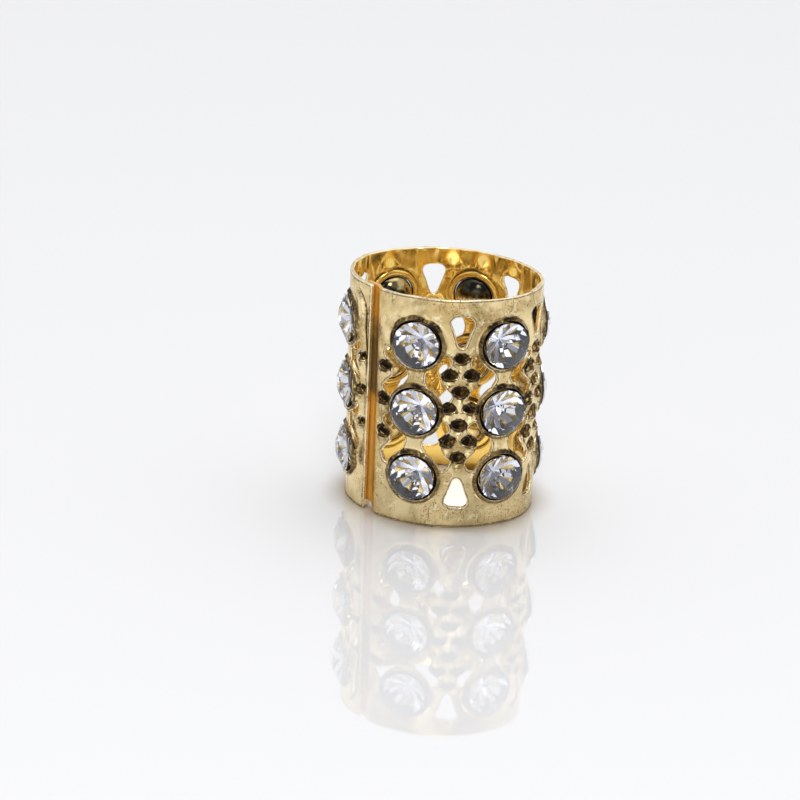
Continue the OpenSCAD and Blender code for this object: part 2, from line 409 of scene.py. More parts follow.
def stepDown(s):
    # The inner end goes behind the outer end.
    return relief["step"] * (1 - smooth((s + 4.25) / 0.85))


# The strip's mesh
meshing = {
    "gap": 0.21,            # between the points of the plain face
    "clear": 0.055,         # no point lies nearer to an edge's line
    "nearScale": 0.80,
    "scaleFrom": -0.85,
    "scaleGapAlong": 0.11,
    "scaleGapUp": 0.095,
    "nearSeat": (1.7, 2.15),
    "seatRings": (1.80, 1.88, 1.96, 2.06),
    "seatPoints": 90,
    "nearCrease": 0.36,
    "creaseHalf": 0.30,
    "creaseGapAlong": 0.075,
    "creaseGapUp": 0.13,
}
# The rings of a rounded edge: shares of edgeRound out of the metal and down from the face
rounding = [(0.30, 0.05), (0.62, 0.22), (0.90, 0.60), (1.0, 1.0)]
# For each ring from the outer face to the inner one: dirt and painted shade, painted highlight and how far
# it counts as inside
ringSootAndShade = (0.9, 0.8, 0.7, 0.6, 0.3, 0.1, 0, 0)
ringHighlight = (0.8, 1, 1, 0.5, 0.5, 1, 1, 0.8)
ringInside = (0, 0, 0, 0, 0.5, 1, 1, 1)
tabInside = -3.56   # the tab counts as inside up to here
tabSeamBounce = -3.42    # and gets the painted orange reflection up to here


def facePoints():
    # An even net of points, finer at the scales, round the seats and along the crease.
    spots = []
    gap = meshing["gap"]
    for row, z in enumerate(np.arange(0.1, ring["height"], gap * 0.866)):
        spots += [(s, z) for s in np.arange(-5.4 + (row % 2) * gap / 2, wholeWay - 4.2, gap)]
    spots = np.array(spots)
    fine = []
    near, along = meshing["nearScale"], meshing["scaleGapAlong"]
    for cs, cz in scalePlaces:
        spots = spots[np.hypot(spots[:, 0] - cs, spots[:, 1] - cz) > near]
        for row, z in enumerate(np.arange(meshing["scaleFrom"], near, meshing["scaleGapUp"])):
            places = np.arange(-near + (row % 2) * along / 2, near, along)
            fine += [(cs + x, cz + z) for x in places if math.hypot(x, z) < near]
    for cs, cz in stonePlaces:
        r = np.hypot(spots[:, 0] - cs, spots[:, 1] - cz)
        spots = spots[(r < meshing["nearSeat"][0]) | (r > meshing["nearSeat"][1])]
        for k, r in enumerate(meshing["seatRings"]):
            a = (np.arange(meshing["seatPoints"]) + 0.5 * k) * 2 * math.pi / meshing["seatPoints"]
            fine += list(zip(cs + r * np.cos(a), cz + r * np.sin(a)))
    zs = np.arange(relief["creaseFoot"], relief["creaseTop"], meshing["creaseGapUp"])
    middle = creaseAt(zs)
    off = np.abs(spots[:, 0] - np.interp(spots[:, 1], zs, middle)) > meshing["nearCrease"]
    spots = spots[off | (spots[:, 1] < relief["creaseFoot"] - 0.1)]
    aside = np.arange(-meshing["creaseHalf"], meshing["creaseHalf"] + 0.01, meshing["creaseGapAlong"])
    fine += [(s + d + 0.03 * (k % 2), z) for k, (s, z) in enumerate(zip(middle, zs)) for d in aside]
    return np.vstack([spots, np.array(fine)])


def flatFace(sAxis, zAxis, f, sample):
    # The face drawn flat: its points, its triangles and its open edges with the metal on their left.
    inset = pattern["edgeRound"]
    loops = edgeLoops(sAxis, zAxis, f + inset)
    # specks are left out
    loops = [line for line in loops if len(line) > 16 or np.ptp(line[:, 0]) > 0.3]
    points = [Vector(p) for line in loops for p in line]
    edges = []
    base = 0
    for line in loops:
        n = len(line)
        edges += [(base + k, base + (k + 1) % n) for k in range(n)]
        base += n
    spots = facePoints()
    spots = spots[sample(f, spots[:, 0], spots[:, 1]) < -inset - meshing["clear"]]
    made = delaunay_2d_cdt(points + [Vector(p) for p in spots], edges, [], 0, 1e-6)
    verts = np.array([tuple(v) for v in made[0]])
    tris = np.array([t for t in made[2] if len(t) == 3])
    middle = verts[tris].mean(1)
    tris = tris[sample(f, middle[:, 0], middle[:, 1]) < -inset * 0.9]
    a, b, c = (verts[tris[:, k]] for k in range(3))
    turn = (b[:, 0] - a[:, 0]) * (c[:, 1] - a[:, 1]) - (b[:, 1] - a[:, 1]) * (c[:, 0] - a[:, 0])
    tris[turn < 0] = tris[turn < 0][:, ::-1]
    used = np.unique(tris)
    number = np.full(len(verts), -1)
    number[used] = np.arange(len(used))
    verts, tris = verts[used], number[tris]
    have = {tuple(p) for p in np.vstack([tris[:, [0, 1]], tris[:, [1, 2]], tris[:, [2, 0]]])}
    return verts, tris, [(p, q) for p, q in have if (q, p) not in have]


def setValues(mesh, name, values):
    # One value for each point of the mesh, for the finishes to read.
    mesh.attributes.new(name, "FLOAT", "POINT").data.foreach_set("value", np.asarray(values, np.float32))


def stripMesh():
    sAxis, zAxis, f = patternGrid()
    inset, wall = pattern["edgeRound"], ring["wall"]
    gs, gz = np.gradient(f, pattern["step"])
    size = np.maximum(np.hypot(gs, gz), 1e-6)
    gs, gz = gs / size, gz / size

    def sample(grid, s, z):
        # The grid's value at the places s, z, blended between its four nearest points.
        i = np.clip((s - sAxis[0]) / pattern["step"], 0, len(sAxis) - 2)
        j = np.clip((z - zAxis[0]) / pattern["step"], 0, len(zAxis) - 2)
        i0, j0 = i.astype(int), j.astype(int)
        a, b = i - i0, j - j0
        return (grid[i0, j0] * (1 - a) * (1 - b) + grid[i0 + 1, j0] * a * (1 - b)
                + grid[i0, j0 + 1] * (1 - a) * b + grid[i0 + 1, j0 + 1] * a * b)

    verts, tris, rim = flatFace(sAxis, zAxis, f, sample)
    rimVerts = sorted({p for e in rim for p in e})
    rimNumber = {v: k for k, v in enumerate(rimVerts)}
    rs, rz = verts[rimVerts, 0], verts[rimVerts, 1]
    ns, nz = sample(gs, rs, rz), sample(gz, rs, rz)
    size = np.maximum(np.hypot(ns, nz), 1e-6)
    ns, nz = ns / size, nz / size

    s, z = verts[:, 0], verts[:, 1]
    h, grimeAndShade = outerHeights(s, z)
    backH = innerHeights(s, z, h)
    step = stepDown(s)
    # every cut edge is rounded by rings that go over it from the outer face to the inner one
    rings = []
    hr, br, st = h[rimVerts], backH[rimVerts], step[rimVerts]
    for out, down in rounding:
        rings.append(onStrip(rs + ns * inset * out, rz + nz * inset * out, hr - st - inset * down))
    for out, down in rounding[::-1]:
        rings.append(onStrip(rs + ns * inset * out, rz + nz * inset * out, br - st - wall + inset * down))
    coords = np.vstack([onStrip(s, z, h - step), onStrip(s, z, backH - step - wall)] + rings)
    count, rimCount = len(verts), len(rimVerts)

    def ringVert(v, k):
        if k == 0:
            return v
        if k == len(rings) + 1:
            return count + v
        return 2 * count + (k - 1) * rimCount + rimNumber[v]

    faces = [tuple(t) for t in tris] + [tuple(count + t[::-1]) for t in tris]
    for p, q in rim:
        for k in range(len(rings) + 1):
            faces.append((ringVert(q, k), ringVert(p, k), ringVert(p, k + 1), ringVert(q, k + 1)))
    mesh = bpy.data.meshes.new("gilt_strip")
    mesh.from_pydata(coords.tolist(), [], faces)
    mesh.validate()

    gap = -sample(f, s, z) - inset
    # dirt and painted shade along the cut edges
    outline = np.maximum(grimeAndShade, pattern["outline"] * np.exp(-np.maximum(gap, 0) / pattern["outlineReach"]))
    # the inner face gets none; the edges' rounding carries the dirt and painted shade of the face beside it
    sootyAndShaded = [outline, np.zeros(count)] + [grimeAndShade[rimVerts] * w for w in ringSootAndShade]
    setValues(mesh, "grimeAndShade", np.concatenate(sootyAndShaded))
    # painted orange reflection of the gold on the tab and step
    seamBounce = smooth((tabSeamBounce + 0.25 * noiseAt(s * 0.3, z, 1.4, 71.0) - s) / 0.24)
    setValues(mesh, "seamBounce", np.concatenate([seamBounce, seamBounce * 0.3] + [seamBounce[rimVerts]] * len(rings)))
    inside = [(s < tabInside) * 0.8, np.ones(count)] + [np.full(rimCount, w) for w in ringInside]
    setValues(mesh, "inside", np.concatenate(inside))
    # painted highlight along the rounded cut edges
    edgeHighlight = np.concatenate([np.zeros(2 * count)] + [np.full(rimCount, w) for w in ringHighlight])
    edgeHighlight[rimVerts] = 0.5
    setValues(mesh, "edge", edgeHighlight)
    mesh.shade_smooth()
    return mesh


def newPiece(name, mesh, *materials):
    piece = bpy.data.objects.new(name, mesh)
    scene.collection.objects.link(piece)
    for material in materials:
        mesh.materials.append(material)
    return piece


# Finishes
def newFinish(name):
    material = bpy.data.materials.new(name)
    material.use_nodes = True
    tree = material.node_tree
    return material, tree, tree.nodes["Principled BSDF"]


def addNode(tree, kind, values=None, **settings):
    node = tree.nodes.new(kind)
    for key, value in settings.items():
        setattr(node, key, value)
    for key, value in (values or {}).items():
        if isinstance(value, bpy.types.NodeSocket):
            tree.links.new(value, node.inputs[key])
        else:
            node.inputs[key].default_value = value
    return node


def noiseOn(tree, vector, scale, detail=4.0, rough=0.55, distortion=0.0):
    return addNode(tree, "ShaderNodeTexNoise", {"Vector": vector, "Scale": scale, "Detail": detail,
                   "Roughness": rough, "Distortion": distortion}).outputs["Fac"]


def rangeOf(tree, value, low, high, toLow=0.0, toHigh=1.0):
    return addNode(tree, "ShaderNodeMapRange", {"Value": value, "From Min": low, "From Max": high,
                   "To Min": toLow, "To Max": toHigh}, interpolation_type="SMOOTHSTEP").outputs["Result"]


def mathOf(tree, kind, a, b):
    # The result stays between 0 and 1, apart from a difference.
    node = tree.nodes.new("ShaderNodeMath")
    node.operation = kind
    node.use_clamp = kind != "SUBTRACT"
    for socket, value in zip(node.inputs, (a, b)):
        if isinstance(value, bpy.types.NodeSocket):
            tree.links.new(value, socket)
        else:
            socket.default_value = value
    return node.outputs[0]


def blendOf(tree, factor, a, b):
    node = tree.nodes.new("ShaderNodeMix")
    node.data_type = "RGBA"
    for socket, value in zip((node.inputs[0], node.inputs[6], node.inputs[7]), (factor, a, b)):
        if isinstance(value, bpy.types.NodeSocket):
            tree.links.new(value, socket)
        else:
            socket.default_value = value
    return node.outputs[2]


gilt = {
    "bright": (0.96, 0.77, 0.42, 1),
    "deep": (0.55, 0.38, 0.145, 1),
    "pale": (1.0, 0.85, 0.52, 1),
    "olive": (0.44, 0.31, 0.11, 1),
    "inner": (0.96, 0.68, 0.19, 1),
    "edge": (0.98, 0.90, 0.68, 1),
    "seamBounce": (0.66, 0.30, 0.03, 1),
    "seamBounceDark": (0.09, 0.028, 0.006, 1),
    "stain": (0.20, 0.12, 0.035, 1),
    "brown": (0.27, 0.18, 0.065, 1),
    "grimeAndShade": (0.012, 0.007, 0.004, 1),
    "roughness": 0.20,
    "metal": 0.9,
    "dirt": 0.75,
}
# Scale, detail, roughness and distortion of each pattern
giltNoise = {
    "blotch": (430, 5, 0.6, 0.4),
    "cloud": (1500, 4, 0.6),
    "fine": (5200, 3, 0.6),
    "specks": (7500, 4, 0.6),
    "streaks": (7000, 3, 0.6),
    "scratch": (6200, 2, 0.5),
    "broad": (240, 4, 0.6, 0.6),
    "seamShading": (420, 3, 0.6),
}


def giltFinish(name):
    material, tree, shader = newFinish(name)
    place = tree.nodes.new("ShaderNodeTexCoord").outputs["Object"]
    height = addNode(tree, "ShaderNodeSeparateXYZ", {0: place}).outputs["Z"]
    blotch, cloud, fine, specks, broad, seamShading = [
        noiseOn(tree, place, *giltNoise[key])
        for key in ("blotch", "cloud", "fine", "specks", "broad", "seamShading")]
    upright = addNode(tree, "ShaderNodeMapping", {"Vector": place, "Scale": (1, 1, 0.07)})
    streaks = noiseOn(tree, upright.outputs["Vector"], *giltNoise["streaks"])
    slant = addNode(tree, "ShaderNodeMapping", {"Vector": place, "Rotation": (0.3, 0.75, 0.4),
                    "Scale": (1, 1, 0.12)})
    scratch = noiseOn(tree, slant.outputs["Vector"], *giltNoise["scratch"])
    grimeAndShade, edge, inside, seamBounce = [
        addNode(tree, "ShaderNodeAttribute", attribute_name=key).outputs["Fac"]
        for key in ("grimeAndShade", "edge", "inside", "seamBounce")]
    outside = mathOf(tree, "SUBTRACT", 1.0, inside)

    # the gilding: deeper, olive and rubbed pale in places, a painted lightening towards the foot, warmer
    # inside, a painted highlight along the edges
    color = blendOf(tree, rangeOf(tree, blotch, 0.38, 0.66, 0, 0.8), gilt["bright"], gilt["deep"])
    color = blendOf(tree, rangeOf(tree, broad, 0.44, 0.64, 0, 0.75), color, gilt["olive"])
    rubbedAndFootLight = rangeOf(tree, cloud, 0.50, 0.66, 0, 0.75)
    # paler towards the foot: a painted lightening
    rubbedAndFootLight = mathOf(tree, "MAXIMUM", rubbedAndFootLight, rangeOf(tree, height, 0.001, 0.006, 0.28, 0))
    color = blendOf(tree, rubbedAndFootLight, color, gilt["pale"])
    color = blendOf(tree, inside, color, gilt["inner"])
    # painted highlight along the edges
    edgeHighlight = mathOf(tree, "MULTIPLY", edge, rangeOf(tree, cloud, 0.35, 0.6, 0.3, 0.9))
    color = blendOf(tree, edgeHighlight, color, gilt["edge"])

    # specks, scuffs and scratches, fewer inside
    dirty = mathOf(tree, "MULTIPLY", rangeOf(tree, specks, 0.54, 0.62), rangeOf(tree, blotch, 0.44, 0.56))
    scuffs = mathOf(tree, "MULTIPLY", rangeOf(tree, streaks, 0.60, 0.72), rangeOf(tree, blotch, 0.5, 0.62))
    dirty = mathOf(tree, "MAXIMUM", dirty, mathOf(tree, "MULTIPLY", scuffs, 0.6))
    scratch = mathOf(tree, "MULTIPLY", rangeOf(tree, scratch, 0.63, 0.68), rangeOf(tree, blotch, 0.42, 0.58))
    dirty = mathOf(tree, "MAXIMUM", dirty, mathOf(tree, "MULTIPLY", scratch, 0.9))
    dirty = mathOf(tree, "MULTIPLY", dirty, rangeOf(tree, outside, 0, 1, 0.25, 1.0))
    color = blendOf(tree, mathOf(tree, "MULTIPLY", dirty, gilt["dirt"]), color, gilt["stain"])

    # dark dirt and painted shade at the openings and seats, and on the tab a painted orange reflection of
    # the gold with painted shade in its middle
    sootyAndShaded = mathOf(tree, "MULTIPLY", grimeAndShade, rangeOf(tree, fine, 0.25, 0.55, 0.55, 1.0))
    sootyAndShaded = rangeOf(tree, sootyAndShaded, 0.15, 0.75)
    color = blendOf(tree, rangeOf(tree, sootyAndShaded, 0.0, 0.55), color, gilt["brown"])
    color = blendOf(tree, rangeOf(tree, sootyAndShaded, 0.45, 1.0), color, gilt["grimeAndShade"])
    # painted shade in the middle of the tab
    middle = rangeOf(tree, height, 0.0115, 0.0145, 1.0, 0.0)
    middle = mathOf(tree, "MULTIPLY", rangeOf(tree, height, 0.0075, 0.0100), middle)
    seamShading = mathOf(tree, "MULTIPLY", seamShading, 0.6)
    seamShading = mathOf(tree, "ADD", seamShading, mathOf(tree, "MULTIPLY", middle, 0.28))
    seamBounceColor = blendOf(tree, rangeOf(tree, seamShading, 0.34, 0.50), gilt["seamBounce"], gilt["seamBounceDark"])
    color = blendOf(tree, mathOf(tree, "MULTIPLY", seamBounce, 0.85), color, seamBounceColor)
    tree.links.new(color, shader.inputs["Base Color"])

    matt = mathOf(tree, "MAXIMUM", rangeOf(tree, sootyAndShaded, 0.35, 1.0), mathOf(tree, "MULTIPLY", seamBounce, 0.6))
    tree.links.new(rangeOf(tree, matt, 0, 1, gilt["metal"], 0.0), shader.inputs["Metallic"])
    tree.links.new(rangeOf(tree, sootyAndShaded, 0, 1, 0.5, 0.12), shader.inputs["Specular IOR Level"])
    rough = rangeOf(tree, cloud, 0.3, 0.7, gilt["roughness"] - 0.05, gilt["roughness"] + 0.10)
    rough = mathOf(tree, "MULTIPLY", rough, rangeOf(tree, outside, 0, 1, 0.55, 1.0))
    rough = mathOf(tree, "ADD", rough, mathOf(tree, "MULTIPLY", sootyAndShaded, 0.35))
    tree.links.new(rough, shader.inputs["Roughness"])
    bumps = mathOf(tree, "MULTIPLY", streaks, 0.35)
    bumps = mathOf(tree, "ADD", mathOf(tree, "MULTIPLY", fine, 0.5), bumps)
    bumps = mathOf(tree, "MULTIPLY", bumps, rangeOf(tree, outside, 0, 1, 0.2, 1.0))
    bump = addNode(tree, "ShaderNodeBump", {"Height": bumps, "Strength": 0.12, "Distance": 0.00006})
    tree.links.new(bump.outputs["Normal"], shader.inputs["Normal"])
    return material


glass = {"Base Color": (0.97, 0.97, 0.985, 1), "Transmission Weight": 1.0, "IOR": 1.48, "Roughness": 0.0}
foil = {"bright": (0.88, 0.895, 0.95, 1), "dull": (0.72, 0.735, 0.80, 1), "glow": (0.52, 0.54, 0.62, 1),
        "glowStrength": 0.035}
lacquer = {"bright": (0.76, 0.60, 0.28, 1), "dull": (0.30, 0.20, 0.08, 1), "dark": (0.05, 0.045, 0.035, 1)}


def glassFinish():
    material, tree, shader = newFinish("cut_crystal")
    for key, value in glass.items():
        shader.inputs[key].default_value = value
    return material


def foilFinish():
    material, tree, shader = newFinish("mirror_foil")
    place = tree.nodes.new("ShaderNodeTexCoord").outputs["Object"]
    age = rangeOf(tree, noiseOn(tree, place, 330, 2, 0.5), 0.42, 0.68)
    tree.links.new(blendOf(tree, age, foil["bright"], foil["dull"]), shader.inputs["Base Color"])
    shader.inputs["Metallic"].default_value = 1.0
    shader.inputs["Roughness"].default_value = 0.0
    shader.inputs["Emission Color"].default_value = foil["glow"]
    shader.inputs["Emission Strength"].default_value = foil["glowStrength"]
    return material


def lacquerFinish():
    material, tree, shader = newFinish("back_lacquer")
    place = tree.nodes.new("ShaderNodeTexCoord").outputs["Object"]
    age = noiseOn(tree, place, 1600, 5, 0.65)
    color = blendOf(tree, rangeOf(tree, age, 0.45, 0.70), lacquer["bright"], lacquer["dull"])
    # painted shade: darker on each back's upper side and most on the top row, lifted in patches as a painted
    # highlight
    dark = addNode(tree, "ShaderNodeAttribute", attribute_name="grimeAndShade").outputs["Fac"]
    height = addNode(tree, "ShaderNodeSeparateXYZ", {0: place}).outputs["Z"]
    dark = mathOf(tree, "MULTIPLY", dark, rangeOf(tree, height, 0.0100, 0.0115, 0.1, 1.0))
    paintedHighlights = rangeOf(tree, noiseOn(tree, place, 420, 2, 0.5), 0.52, 0.58, 1.0, 0.35)
    color = blendOf(tree, mathOf(tree, "MULTIPLY", dark, paintedHighlights), color, lacquer["dark"])
    shader.inputs["Metallic"].default_value = 1.0
    tree.links.new(color, shader.inputs["Base Color"])
    tree.links.new(rangeOf(tree, age, 0.35, 0.7, 0.05, 0.22), shader.inputs["Roughness"])
    bump = addNode(tree, "ShaderNodeBump", {"Height": age, "Strength": 0.2, "Distance": 0.00006})
    tree.links.new(bump.outputs["Normal"], shader.inputs["Normal"])
    return material


# Pieces that repeat along the strip
def spreadTree(name):
    tree = bpy.data.node_groups.new(name, "GeometryNodeTree")
    socket = tree.interface.new_socket
    keys = {"Places": socket("Places", in_out="INPUT", socket_type="NodeSocketGeometry").identifier}
    for label, kind in (("Part", "Object"), ("Size", "Float"), ("Turn", "Float"), ("Seed", "Int"),
                        ("Finish", "Material"), ("Back finish", "Material")):
        keys[label] = socket(label, in_out="INPUT", socket_type="NodeSocket" + kind).identifier
    socket("Pieces", in_out="OUTPUT", socket_type="NodeSocketGeometry")
    source = tree.nodes.new("NodeGroupInput").outputs
    part = addNode(tree, "GeometryNodeObjectInfo", {"Object": source["Part"]})
    aim = addNode(tree, "GeometryNodeInputNamedAttribute", {"Name": "aim"}, data_type="FLOAT_VECTOR")
    aimed = addNode(tree, "FunctionNodeEulerToRotation", {"Euler": aim.outputs["Attribute"]})
    least = addNode(tree, "ShaderNodeMath", {0: source["Turn"], 1: -1.0}, operation="MULTIPLY")
    chanceNode = tree.nodes.new("FunctionNodeRandomValue")
    chanceNode.data_type = "FLOAT"
    tree.links.new(least.outputs[0], chanceNode.inputs[2])
    tree.links.new(source["Turn"], chanceNode.inputs[3])
    tree.links.new(source["Seed"], chanceNode.inputs["Seed"])
    angle = chanceNode.outputs[1]
    own = addNode(tree, "FunctionNodeAxisAngleToRotation", {"Axis": (0, 0, 1), "Angle": angle})
    both = addNode(tree, "FunctionNodeRotateRotation", {"Rotation": aimed.outputs[0],
                   "Rotate By": own.outputs[0]}, rotation_space="LOCAL")
    put = addNode(tree, "GeometryNodeInstanceOnPoints", {"Points": source["Places"],
                  "Instance": part.outputs["Geometry"], "Rotation": both.outputs[0],
                  "Scale": source["Size"]})
    real = addNode(tree, "GeometryNodeRealizeInstances", {"Geometry": put.outputs["Instances"]})
    front = addNode(tree, "GeometryNodeSetMaterial", {"Geometry": real.outputs["Geometry"],
                    "Material": source["Finish"]})
    isBack = addNode(tree, "GeometryNodeInputNamedAttribute", {"Name": "back"}, data_type="BOOLEAN")
    back = addNode(tree, "GeometryNodeSetMaterial", {"Geometry": front.outputs[0],
                   "Selection": isBack.outputs["Attribute"], "Material": source["Back finish"]})
    out = tree.nodes.new("NodeGroupOutput")
    tree.links.new(back.outputs[0], out.inputs[0])
    return tree, keys


spread, spreadKeys = spreadTree("spread_on_strip")


def placesMesh(places, depth):
    mesh = bpy.data.meshes.new("places")
    points = [onStrip(s, z, depth) for s, z in places]
    mesh.from_pydata([tuple(p) for p in points], [], [])
    aims = np.array([tuple(stripTurn(s)) for s, z in places], np.float32)
    mesh.attributes.new("aim", "FLOAT_VECTOR", "POINT").data.foreach_set("vector", aims.ravel())
    return mesh


def spreadPieces(name, partMesh, places, settings, finish, backFinish=None):
    part = newPiece(name + "_part", partMesh)
    carrier = newPiece(name + "_places", placesMesh(places, settings["depth"]))
    nodes = carrier.modifiers.new("spread", "NODES")
    nodes.node_group = spread
    nodes[spreadKeys["Part"]] = part
    nodes[spreadKeys["Size"]] = settings["size"]
    nodes[spreadKeys["Turn"]] = settings["turn"]
    nodes[spreadKeys["Seed"]] = settings["seed"]
    nodes[spreadKeys["Finish"]] = finish
    nodes[spreadKeys["Back finish"]] = backFinish or finish
    bpy.context.view_layer.update()
    mesh = bpy.data.meshes.new_from_object(carrier.evaluated_get(bpy.context.evaluated_depsgraph_get()))
    bpy.data.objects.remove(carrier)
    bpy.data.objects.remove(part)
    mesh.name = name
    piece = newPiece(name, mesh)
    print(name, len(mesh.polygons), "faces", [m.name for m in mesh.materials if m])
    return piece


def spunMesh(name, profile, steps, shadeAt):
    # A closed profile turned about Z into a ring, in millimetres.
    verts, faces = [], []
    n = len(profile)
    for k in range(steps):
        a = 2 * math.pi * k / steps
        verts += [(r * math.cos(a) * mm, r * math.sin(a) * mm, z * mm) for r, z in profile]
    for k in range(steps):
        m = (k + 1) % steps
        for i in range(n):
            j = (i + 1) % n
            faces.append((k * n + i, m * n + i, m * n + j, k * n + j))
    mesh = bpy.data.meshes.new(name)
    mesh.from_pydata(verts, [], faces)
    setValues(mesh, "grimeAndShade", [shadeAt(*(c / mm for c in v)) for v in verts])
    setValues(mesh, "inside", np.ones(len(verts)))
    mesh.shade_smooth()
    return mesh


pan = {"inner": 1.38, "wallIn": 1.66, "wallOut": 1.80, "lip": -0.06, "floor": -0.30, "back": -0.55,
       "round": 0.05, "steps": 64, "depth": 0.0, "size": 1.0, "turn": 3.0, "seed": 4}


def panMesh():
    r = pan["round"]
    a, b, c = pan["inner"], pan["wallIn"], pan["wallOut"]
    top, floor, back = pan["lip"], pan["floor"], pan["back"]
    profile = [(a, floor - r), (a + r, floor), (b - r, floor), (b, floor + r), (b, top - r),
               (b + 0.3 * r, top - 0.3 * r), (b + r, top), (c - r, top), (c - 0.3 * r, top - 0.3 * r),
               (c, top - r), (c, back + 2 * r), (c - r, back + 0.5 * r), (c - 2.2 * r, back),
               (a + 2 * r, back), (a + r * 0.6, back + r * 0.6), (a, back + 2 * r)]

    # painted shade in the cup round each stone, darkest inside its wall
    def shadeAt(x, y, z):
        radius = math.hypot(x, y)
        if radius < c - 0.02 and z > floor - 0.2:
            return 1.0 if radius < b + 0.02 else 0.6
        if radius > c - 0.02:
            return 0.55
        return 0.5 if radius < a + 2.0 * r else 0.0

    return spunMesh("pan", profile[::-1], pan["steps"], shadeAt)


stone = {"radius": 1.55, "table": 0.66, "crown": 0.43, "girdle": 0.10, "pavilion": 1.33, "tableShare": 0.40,
         "lowerShare": 0.55, "facets": 8, "depth": 0.0, "size": 1.0, "turn": 3.14, "seed": 9}


def stoneMesh():
    n = stone["facets"]
    wide = stone["radius"]
    girdleTop = stone["table"] - stone["crown"]
    girdleFoot = girdleTop - stone["girdle"]
    culet = girdleFoot - stone["pavilion"]
    half = math.pi / n

    def around(count, radius, z, start):
        return [(radius * math.cos(start + 2 * math.pi * k / count) * mm,
                 radius * math.sin(start + 2 * math.pi * k / count) * mm, z * mm) for k in range(count)]

    verts = around(n, stone["tableShare"] * wide, stone["table"], 0)  # from 0
    verts += around(2 * n, wide, girdleTop, 0)  # from n
    verts += around(2 * n, wide, girdleFoot, 0)  # from 3 n
    low = stone["lowerShare"]
    verts += around(n, low * wide, culet + stone["pavilion"] * low * math.cos(half), half)  # from 5 n
    verts += [(0, 0, culet * mm)]
    culetAt = 6 * n
    faces = [tuple(range(n))]
    for k in range(n):
        m = (k + 1) % n
        g = n + 2 * k
        gm = n + (2 * k + 1) % (2 * n)
        gp = n + (2 * k - 1) % (2 * n)
        faces.append((k, gm, m))
        faces.append((k, gp, g, gm))
    backs = len(faces)
    for k in range(2 * n):
        m = (k + 1) % (2 * n)
        faces.append((n + k, 3 * n + k, 3 * n + m, n + m))
    for k in range(n):
        p = (k - 1) % n
        g = 3 * n + 2 * k
        gm = 3 * n + (2 * k + 1) % (2 * n)
        gp = 3 * n + (2 * k - 1) % (2 * n)
        faces.append((g, 5 * n + p, culetAt, 5 * n + k))
        faces.append((g, 5 * n + k, gm))
        faces.append((g, gp, 5 * n + p))
    mesh = bpy.data.meshes.new("stone")
    mesh.from_pydata(verts, [], faces)
    flags = [i >= backs for i in range(len(faces))]
    mesh.attributes.new("back", "BOOLEAN", "FACE").data.foreach_set("value", flags)
    return mesh


dome = {"profile": [(1.30, -0.20), (1.34, -0.44), (1.27, -0.66), (1.06, -0.88), (0.70, -1.09), (0.34, -1.21),
                    (0.02, -1.25)],
        "clear": 0.02, "steps": 40, "depth": 0.0, "size": 1.0, "turn": 0.0, "seed": 5}


def domeMesh():
    # A thin shell over the pavilion, from its foot round to its inside.
    outside = dome["profile"]
    slope = stone["pavilion"] / stone["radius"]
    culet = stone["table"] - stone["crown"] - stone["girdle"] - stone["pavilion"]
    clear = dome["clear"]
    inside = [max(r - clear, clear) for r, z in outside[::-1]]
    inside = [(r, culet + slope * r - clear) for r in inside]
    inside[-1] = (1.26, min(inside[-1][1], -0.21))

    def shadeAt(x, y, z):
        # Painted shade: the lacquer is darkened towards the top.
        return float(smooth((y + 0.15) / 0.5))

    return spunMesh("dome", outside[::-1] + inside[::-1], dome["steps"], shadeAt)


tongue = {"half": 0.56, "rise": 0.42, "drop": 0.50, "deep": 0.44, "thick": 0.07, "cols": 10, "rows": 7,
          "shadeLeft": 1.0, "shadeRight": 0.62, "shadeBehind": 0.05,
          "depth": 0.0, "size": 1.0, "turn": 0.0, "seed": 6}


def tongueMesh():
    # The metal that was pressed in above each scale's mouth.
    nx, ny = tongue["cols"], tongue["rows"]
    verts, faces = [], []
    for side in (0, 1):
        for j in range(ny + 1):
            v = j / ny
            for i in range(nx + 1):
                u = 2 * i / nx - 1
                x = u * tongue["half"] * (1.04 - 0.30 * v)
                top = 0.02 + tongue["rise"] * (1 - abs(u) ** 1.6)
                y = top * (1 - v) - tongue["drop"] * v * (1 - 0.5 * u * u) + 0.04 * (1 - v)
                z = -0.10 - tongue["deep"] * (v ** 0.85) * (1 - 0.35 * u * u)
                verts.append((x * mm, y * mm, (z - side * tongue["thick"]) * mm))
    n = (nx + 1) * (ny + 1)
    for j in range(ny):
        for i in range(nx):
            a = j * (nx + 1) + i
            b = a + nx + 1
            faces.append((a, b, b + 1, a + 1))
            faces.append((n + a, n + a + 1, n + b + 1, n + b))
    border = list(range(nx + 1)) + [j * (nx + 1) + nx for j in range(1, ny + 1)]
    border += [ny * (nx + 1) + i for i in range(nx - 1, -1, -1)]
    border += [j * (nx + 1) for j in range(ny - 1, 0, -1)]
    for a, b in zip(border, border[1:] + border[:1]):
        faces.append((a, b, n + b, n + a))
    mesh = bpy.data.meshes.new("tongue")
    mesh.from_pydata(verts, [], faces)
    # painted shade in the recess behind the mouth, heavier on its left side, little on its back
    values = [tongue["shadeLeft"] if i % (nx + 1) < 6 else tongue["shadeRight"] for i in range(n)]
    setValues(mesh, "grimeAndShade", values + [tongue["shadeBehind"]] * n)
    setValues(mesh, "inside", np.ones(2 * n))
    mesh.shade_smooth()
    return mesh


